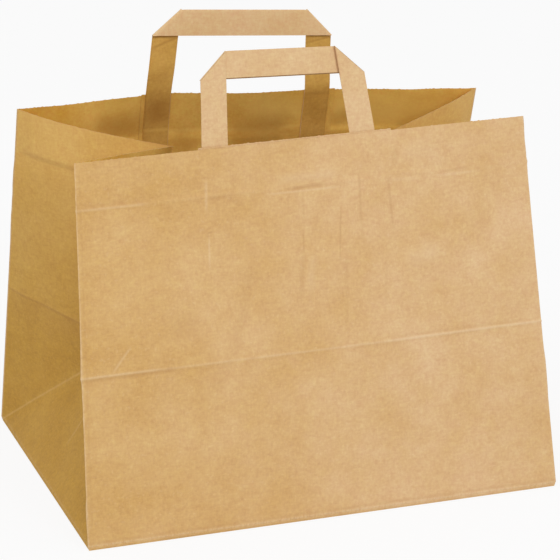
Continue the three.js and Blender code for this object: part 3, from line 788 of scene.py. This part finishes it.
def make_handle(name, panel, sizes, materials, replaced):
    facing = panel["facing"]
    turn = facing * math.radians(sizes["lean"])
    along = panel["along"]
    up = np.array([0, math.sin(turn), math.cos(turn)])
    up = unit(up - along * (up @ along))
    feet = np.array([sizes["left_foot"], sizes["right_foot"]])
    glued = panel_surface(panel, feet, np.full(2, HEIGHT + BEND_START))[0]
    middle = (glued - panel["outward"] * LEG_OFFSET).mean(0)
    middle_foot = feet.mean()

    def crisp(a, b):
        """Outer face of the tape: glued to the panel below the bend, in one free plane above it."""
        face, face_out = panel_surface(panel, a, HEIGHT + np.minimum(b, BEND_START))
        low = face - face_out * LEG_OFFSET
        free = middle + (a - middle_foot)[..., None] * along + (b - BEND_START)[..., None] * up
        blend = smooth_step(b, BEND_START, BEND_END)[..., None]
        lifted = low + (b - BEND_START).clip(0)[..., None] * up
        high = lifted * (1 - blend) + free * blend
        return np.where((b < BEND_START)[..., None], low, high)

    def place(a, b):
        """The same face with a rounded bend."""
        spread = 0.002
        return sum(crisp(a, b + k * spread / 2) for k in (-2, -1, 0, 1, 2)) / 5

    def place_and_out(a, b):
        step = 0.0005
        run = place(a + step, b) - place(a - step, b)
        rise = place(a, b + step) - place(a, b - step)
        return place(a, b), unit(np.cross(run, rise)) * facing

    bar_turn = math.atan2(
        sizes["right_rise"] - sizes["left_rise"], sizes["right_knee"] - sizes["left_knee"])
    across_bar = np.array([-math.sin(bar_turn), math.cos(bar_turn)])
    bar_along = np.array([math.cos(bar_turn), math.sin(bar_turn)])
    half = TAPE_WIDTH / 2

    def leg_sizes(side):
        """Foot, knee, rise and gap of the left leg, side 1, or of the right leg, side -1."""
        key = "left" if side > 0 else "right"
        return [sizes[key + part] for part in ("_foot", "_knee", "_rise", "_gap")]

    wraps = {side: (TAPE_THICKNESS + leg_sizes(side)[3]) / 2 for side in (1, -1)}

    def shoulder(side):
        """Ends of the slanting fold: on the leg's outer edge, and on the bar's top edge."""
        foot, knee, rise, _ = leg_sizes(side)
        along_leg = np.array([(knee - foot) / rise, 1])
        slant = along_leg @ across_bar
        inner = np.array([knee + side * half, rise])
        return inner - bar_along * side * TAPE_WIDTH / slant, inner + along_leg * TAPE_WIDTH / slant

    stations = []

    def add_station(first, last, depth, tilt, way):
        """A line across the tape from its first to its last edge, with its depth behind the plane.

        tilt turns the tape's face over a fold, about the line, and way points out over that fold.
        """
        stations.append((np.array(first), np.array(last), depth, tilt, np.array(way)))

    def leg_stations(side, upwards):
        foot, knee, rise, _ = leg_sizes(side)
        outer, top = shoulder(side)
        free_levels = np.linspace(0, rise * 0.92, 22)[1:]
        levels = np.concatenate([np.linspace(-LEG_REACH, 0, 14), free_levels])
        lines = []
        for b in levels:
            a = foot + (knee - foot) * max(b, 0) / rise
            lines.append(((a - side * half, b), (a + side * half, b)))
        lines.append((outer, top))
        for first, last in lines if upwards else reversed(lines):
            add_station(first, last, 0, 0, (0, 0))

    def fold_stations(side, into_bar):
        outer, top = shoulder(side)
        line = (top - outer) / np.linalg.norm(top - outer)
        way = np.array([-line[1], line[0]]) * side
        angles = np.linspace(0, math.pi, 7)
        for angle in angles if into_bar else angles[::-1]:
            add_station(outer, top, wraps[side] * (1 - math.cos(angle)), angle, way)

    leg_stations(1, True)
    fold_stations(1, True)
    left_outer, left_top = shoulder(1)
    right_outer, right_top = shoulder(-1)
    for t in np.linspace(0, 1, 34)[1:-1]:
        lower = left_outer + (right_outer - left_outer) * t
        upper = left_top + (right_top - left_top) * t
        add_station(lower, upper, 2 * (wraps[1] + (wraps[-1] - wraps[1]) * t), math.pi, (0, 0))
    fold_stations(-1, False)
    leg_stations(-1, False)

    section, gap_shadow_sides, under_sides = tape_section()
    q = section[:, 0] / TAPE_WIDTH + 0.5
    h = section[:, 1]
    first, last = (np.array([station[k] for station in stations]) for k in (0, 1))
    depth, tilt = (np.array([station[k] for station in stations])[:, None, None] for k in (2, 3))
    way = np.array([station[4] for station in stations])
    places = first[:, None] + (last - first)[:, None] * q[:, None]
    faces, out = place_and_out(places[..., 0], places[..., 1])
    over = (way[:, :1] * along + way[:, 1:] * up)[:, None]
    normal = out * np.cos(tilt) + over * np.sin(tilt)
    bulge = FOLD_BULGE * np.sin(tilt) - FOLD_DRAW
    mid = faces - out * (TAPE_THICKNESS / 2 + depth) + over * bulge
    rings = mid + normal * h[:, None]
    pieces = Pieces()
    count = len(section)
    starts = [pieces.add_points(ring, 0, sheet) for ring, sheet in zip(rings, places)]
    for low, high in zip(starts[:-1], starts[1:]):
        for k in range(count):
            m = (k + 1) % count
            corners = (low + k, high + k, high + m, low + m)
            # Material 1 on the cut layers' sides paints the shadow of the gap between them
            side_material = 1 if k in gap_shadow_sides else 2 if k in under_sides else 0
            pieces.face(corners if facing > 0 else corners[::-1], side_material)
    for start, order in ((starts[0], facing), (starts[-1], -facing)):
        pieces.face([start + k for k in range(count)][::order])
    return pieces.build(name, materials, replaced)


# Materials

WHITE = (1, 1, 1, 1)

# Noise of the paper: cells for each metre along X, Y and Z, detail, roughness
TEXTURES = (
    ((22, 22, 22), 5, 0.62),        # clouds
    ((130, 130, 170), 4, 0.7),      # small clouds
    ((420, 420, 560), 2, 0.6),      # grain
    ((900, 900, 260), 2, 0.6),      # fibres
    ((260, 260, 1100), 2, 0.6),     # cross fibres
    ((620, 620, 620), 0, 0.5),      # specks
)
RIBS = ((480, 480, 5), 1, 0.5)
CLOUD_SPAN = (0.30, 0.70)     # the clouds' values that run from the dark to the full colour
ROUGHNESS_SPREAD = 0.08
BUMP_STRENGTH = 0.6
# Marks paint their ridges pale, partly as highlight, and their troughs dark as shade
RIDGE_SHARE = 0.36            # how much of the pale colour a mark's ridge takes on
TROUGH_SHARE = 0.45
TROUGH_SHADE = (0.68, 0.54, 0.50)


class Nodes:
    """Adds nodes to the node tree of a material or a world."""

    def __init__(self, owner):
        owner.use_nodes = True
        self.nodes = owner.node_tree.nodes
        self.links = owner.node_tree.links

    def feed(self, port, value):
        """Gives an input a fixed value, or links it to another node's output."""
        if isinstance(value, bpy.types.NodeSocket):
            self.links.new(value, port)
        else:
            port.default_value = value

    def add(self, kind, inputs):
        node = self.nodes.new("ShaderNode" + kind)
        for port, value in inputs.items():
            self.feed(node.inputs[port], value)
        return node

    def math(self, operation, one, other=0.0):
        node = self.add("Math", {0: one, 1: other})
        node.operation = operation
        return node.outputs[0]

    def times(self, one, other):
        return self.math("MULTIPLY", one, other)

    def ramp(self, value, start, end, low=0.0, high=1.0, way="LINEAR"):
        """low to high between two values of another output."""
        node = self.add("MapRange", {"Value": value, "From Min": start, "From Max": end,
                                     "To Min": low, "To Max": high})
        node.interpolation_type = way
        return node.outputs["Result"]

    def mix(self, factor, one, other, how="MIX"):
        """Mix of two colours, each a fixed colour or an output."""
        node = self.nodes.new("ShaderNodeMix")
        node.data_type = "RGBA"
        node.blend_type = how
        for port, value in ((0, factor), (6, one), (7, other)):
            self.feed(node.inputs[port], (*value, 1) if isinstance(value, tuple) else value)
        return node.outputs[2]

    def attribute(self, name, output):
        node = self.nodes.new("ShaderNodeAttribute")
        node.attribute_name = name
        return node.outputs[output]


class Paper(Nodes):
    """Material of kraft paper: cloudy formation, fibres, flecks, marks painted with highlight and
    shade, and pale folds, partly rubbed and partly painted highlight.

    colours holds its colour and its dark colour, and pale is what it turns to where it is rubbed
    and where it is painted with highlight. drift gives an axis, where a change of both colours
    starts and ends along it, and the colours at its start, which paint shade there. marks are lines
    on the sheet, as in MARKS.
    """

    def __init__(self, name, colours, pale, roughness=0.72, ribs=True, drift=None, marks=()):
        self.material = bpy.data.materials.new(name)
        super().__init__(self.material)
        shader = self.nodes["Principled BSDF"]
        self.place = self.add("TexCoord", {}).outputs["Object"]
        cloud, small_cloud, grain, fibres, cross_fibres, specks = (
            self.noise(*texture) for texture in TEXTURES)
        colour, dark = colours
        cloudy = self.ramp(cloud, *CLOUD_SPAN)
        tint = self.mix(cloudy, dark, colour)
        # drift paints shade: a darker, more golden colour over one part of the sheet
        if drift:
            axis, start, end, (other_colour, other_dark) = drift
            split = self.add("SeparateXYZ", {0: self.place})
            passed = self.ramp(split.outputs[axis], start, end)
            tint = self.mix(passed, self.mix(cloudy, other_dark, other_colour), tint)
        overlays = ((small_cloud, 0.17), (grain, 0.17), (fibres, 0.13), (cross_fibres, 0.10))
        for texture, amount in overlays:
            tint = self.mix(amount, tint, texture, "OVERLAY")
        tint = self.mix(self.ramp(specks, 0.70, 0.78, high=0.10), tint, pale)
        tint = self.mix(self.ramp(specks, 0.30, 0.22, high=0.25), tint, dark)
        # Folds and creases painted pale: partly rubbed paper, partly painted highlight
        rub_and_highlight = self.times(self.attribute("fold_rub_and_highlight", "Fac"), self.ramp(fibres, 0.2, 0.65))
        tint = self.mix(self.times(rub_and_highlight, 0.8), tint, pale)
        if marks:
            self.sheet = self.attribute("sheet", "Vector")
            # A mark's ridge is painted pale as highlight, and its trough dark as shade
            shade = tuple(share * value for share, value in zip(TROUGH_SHADE, dark))
            for sign, share, marked in ((1, RIDGE_SHARE, pale), (-1, TROUGH_SHARE, shade)):
                chosen = [mark for mark in marks if mark[3] * sign > 0]
                if chosen:
                    tint = self.mix(self.times(self.marked(chosen), share), tint, marked)
        smoothest, roughest = roughness - ROUGHNESS_SPREAD, roughness + ROUGHNESS_SPREAD
        heights = [(small_cloud, 0.00012), (fibres, 0.00003), (cross_fibres, 0.00002)]
        if ribs:
            heights.append((self.noise(*RIBS), 0.00002))
        self.feed(shader.inputs["Specular IOR Level"], 0.35)
        self.feed(shader.inputs["Base Color"], tint)
        self.feed(shader.inputs["Roughness"], self.ramp(small_cloud, 0, 1, smoothest, roughest))
        self.feed(shader.inputs["Normal"], self.bumps(heights))

    def noise(self, scale, detail, rough):
        """Noise stretched by a scale along each axis, in cells for each metre."""
        mapping = self.add("Mapping", {"Vector": self.place, "Scale": scale})
        return self.add("TexNoise", {"Vector": mapping.outputs["Vector"], "Scale": 1.0,
                                     "Detail": detail, "Roughness": rough}).outputs["Fac"]

    def bumps(self, heights):
        """Normal of the paper from textures, each with the height that it stands for."""
        inputs = {"Strength": BUMP_STRENGTH}
        for height, distance in heights:
            bump = self.add("Bump", {**inputs, "Height": height, "Distance": distance})
            inputs["Normal"] = bump.outputs["Normal"]
        return inputs["Normal"]

    def marked(self, marks):
        """How strongly a place of the sheet is marked, from the marks' lines."""
        total = self.mark(*marks[0])
        for mark in marks[1:]:
            total = self.math("MAXIMUM", total, self.mark(*mark))
        return total

    def measured(self, origin, direction):
        """Distance of the sheet place from an origin, along a direction."""
        dot = self.nodes.new("ShaderNodeVectorMath")
        dot.operation = "DOT_PRODUCT"
        self.feed(dot.inputs[0], self.sheet)
        self.feed(dot.inputs[1], (*direction, 0))
        start = origin[0] * direction[0] + origin[1] * direction[1]
        return self.math("SUBTRACT", dot.outputs["Value"], start)

    def smooth(self, value, start, end):
        return self.ramp(value, start, end, way="SMOOTHSTEP")

    def mark(self, start, end, spread, tone):
        """One soft line on the sheet, fading at both ends."""
        length = math.hypot(end[0] - start[0], end[1] - start[1])
        run = ((end[0] - start[0]) / length, (end[1] - start[1]) / length)
        fade = min(0.25 * length, 0.006)
        across = self.math("ABSOLUTE", self.measured(start, (run[1], -run[0])))
        along = self.measured(start, run)
        started = self.smooth(along, -fade, fade)
        inside = self.times(started, self.smooth(along, length + fade, length - fade))
        line = self.smooth(across, 1.6 * spread, 0)
        return self.times(self.times(line, inside), abs(tone))


# Colours of each paper, with the darker colour of its clouds. The bag's walls, patches and tapes
# are one kraft paper; several of these colours are copies of it with painted shade or painted light
PANEL = ((0.715, 0.475, 0.255), (0.640, 0.395, 0.165))
# Painted shade: the panel's left part, darker and more golden
PANEL_LEFT_SHADE = ((0.665, 0.415, 0.160), (0.585, 0.335, 0.100))
# Painted shade: the gussets, a deeper golden copy of the panel's paper
GUSSET = ((0.765, 0.475, 0.150), (0.690, 0.405, 0.105))
# Painted shade: the gussets darker and more golden towards the bottom
GUSSET_LOW_SHADE = ((0.600, 0.345, 0.065), (0.525, 0.285, 0.042))
# Painted light: the bag's inside, brighter and more golden, for the warm light bounced round in it
INSIDE = ((0.910, 0.590, 0.150), (0.740, 0.410, 0.055))
# Painted light and shade: the patches' inner faces, bright golden as the inside, with deeper
# painted shade in their clouds
PATCH_BOUNCE_AND_SHADE = ((0.910, 0.580, 0.145), (0.660, 0.360, 0.048))
CUT_EDGE = ((0.760, 0.540, 0.320), (0.680, 0.460, 0.250))
FRONT_TAPE = ((0.715, 0.485, 0.265), (0.665, 0.430, 0.205))
# Painted shadow: the dark line in the gap between the tape's cut layers
GAP_SHADOW = ((0.340, 0.190, 0.070), (0.260, 0.130, 0.040))
# Painted light: the back tape's face that its bar shows, a brighter copy of the tape
BACK_TAPE = ((0.815, 0.560, 0.310), (0.755, 0.495, 0.235))
# Painted shade: the back tape's other face, which its legs show, and its cut sides, a darker golden
# copy
BACK_TAPE_SHADED = ((0.700, 0.415, 0.100), (0.550, 0.295, 0.050))

# What each paper turns to where it is rubbed, and where it is painted with highlight
PALE = (0.84, 0.67, 0.44)
GOLDEN = (0.82, 0.56, 0.24)
INNER_PALE = (0.95, 0.67, 0.18)

X_AXIS, Z_AXIS = 0, 2
bag_papers = [
    Paper("kraft_panel", PANEL, PALE, drift=(X_AXIS, -0.17, 0.05, PANEL_LEFT_SHADE), marks=MARKS),
    Paper("kraft_gusset_painted_shade", GUSSET, GOLDEN, drift=(Z_AXIS, 0.07, 0.24, GUSSET_LOW_SHADE),
          marks=GUSSET_HIGHLIGHT_AND_SHADE),
    Paper("kraft_inside_painted_bounce", INSIDE, INNER_PALE, 0.82, False, marks=INSIDE_PAINTED_LIGHT_AND_SHADE),
    Paper("kraft_cut_edge", CUT_EDGE, PALE, 0.85, False),
]
front_tape = Paper("kraft_tape", FRONT_TAPE, PALE, marks=FRONT_TAPE_PAINTED_SHADOW).material
painted_gap_shadow = Paper("kraft_glue_line", GAP_SHADOW, FRONT_TAPE[1], 0.8, False).material
back_tape = Paper("kraft_tape_painted_lit", BACK_TAPE, PALE).material
back_tape_shaded = Paper("kraft_tape_painted_shade", BACK_TAPE_SHADED, INNER_PALE,
                         marks=BACK_TAPE_SHADE_AND_HIGHLIGHT).material
patch_bounce_and_shade = Paper("kraft_patch", PATCH_BOUNCE_AND_SHADE, INNER_PALE, marks=INSIDE_PAINTED_LIGHT_AND_SHADE).material
patch_lip = Paper("kraft_patch_lip", PANEL, PALE).material

make_bag([paper.material for paper in bag_papers])
make_patch("front_patch", FRONT_PANEL, [patch_bounce_and_shade, patch_lip], "front_handle_patch")
make_patch("back_patch", BACK_PANEL, [patch_bounce_and_shade, patch_lip], "back_handle_patch")
make_handle("front_tape", FRONT_PANEL, FRONT_HANDLE, [front_tape, painted_gap_shadow, front_tape],
            "front_handle")
make_handle("back_tape", BACK_PANEL, BACK_HANDLE, [back_tape, back_tape_shaded, back_tape_shaded],
            "back_handle")


# Studio

AMBIENT = 0.60
FLOOR_REACH = 6.0
FLOOR_HEIGHT = -0.0005
FLOOR_GREY = 0.86
FLOOR_GLOW = 0.88             # share of white that the floor shows to the camera
LAMP_TARGET = (0, 0, 0.12)
LAMPS = (                     # name, place, size, watts
    ("key_lamp", (0.60, -2.70, 1.60), 0.9, 15),
    ("mouth_lamp", (-0.75, -1.55, 2.15), 1.0, 18),
)


def white_for_camera(tree, shader, share):
    """A shader that shows mostly white to the camera and in mirrors, and keeps its shadows."""
    path = tree.add("LightPath", {})
    seen = tree.math("MAXIMUM", path.outputs["Is Camera Ray"], path.outputs["Is Glossy Ray"])
    seen = tree.math("MAXIMUM", seen, path.outputs["Is Transmission Ray"])
    glow = tree.add("Emission", {"Color": WHITE, "Strength": 1})
    inputs = {0: tree.times(seen, share), 1: shader, 2: glow.outputs[0]}
    return tree.add("MixShader", inputs).outputs[0]


def make_floor():
    mesh = bpy.data.meshes.new("floor")
    turns = ((-1, -1), (1, -1), (1, 1), (-1, 1))
    corners = [(x * FLOOR_REACH, y * FLOOR_REACH, FLOOR_HEIGHT) for x, y in turns]
    mesh.from_pydata(corners, [], [(0, 1, 2, 3)])
    floor = add_object("floor", mesh)
    material = bpy.data.materials.new("pale_floor")
    tree = Nodes(material)
    shader = tree.nodes["Principled BSDF"]
    tree.feed(shader.inputs["Base Color"], (FLOOR_GREY, FLOOR_GREY, FLOOR_GREY, 1))
    tree.feed(shader.inputs["Roughness"], 0.9)
    shown = white_for_camera(tree, shader.outputs[0], FLOOR_GLOW)
    tree.feed(tree.nodes["Material Output"].inputs["Surface"], shown)
    mesh.materials.append(material)


def make_world():
    world = bpy.data.worlds.new("studio")
    bpy.context.scene.world = world
    tree = Nodes(world)
    soft = tree.nodes["Background"]
    tree.feed(soft.inputs["Color"], WHITE)
    tree.feed(soft.inputs["Strength"], AMBIENT)
    shown = white_for_camera(tree, soft.outputs[0], 1.0)
    tree.feed(tree.nodes["World Output"].inputs["Surface"], shown)


def make_lamp(name, place, size, watts):
    light = bpy.data.lights.new(name, "AREA")
    light.shape = "DISK"
    light.size = size
    light.energy = watts
    towards = unit(np.array(LAMP_TARGET, float) - np.array(place, float))
    side = unit(np.cross(towards, [0, 0, 1]))
    add_object(name, light, [side, np.cross(side, towards), -towards], place)


# The photograph's viewpoint
CAMERA_PLACE = (-0.5717, -1.5909, 0.7399)
CAMERA_RIGHT = (0.94185, -0.33578, 0.01319)
CAMERA_DOWN = (-0.10333, -0.32675, -0.93945)
CAMERA_FORWARD = (0.31976, 0.88345, -0.34245)
FOCAL_PIXELS = 2730.2
IMAGE_PIXELS = 560
SENSOR = 36.0


def make_camera():
    data = bpy.data.cameras.new("camera")
    data.sensor_width = SENSOR
    data.lens = FOCAL_PIXELS / IMAGE_PIXELS * SENSOR
    data.clip_start, data.clip_end = 0.05, 50
    axes = [CAMERA_RIGHT, -np.array(CAMERA_DOWN), -np.array(CAMERA_FORWARD)]
    bpy.context.scene.camera = add_object("camera", data, axes, CAMERA_PLACE)


make_floor()
make_world()
for lamp in LAMPS:
    make_lamp(*lamp)
make_camera()
bpy.context.scene.view_settings.view_transform = "Standard"
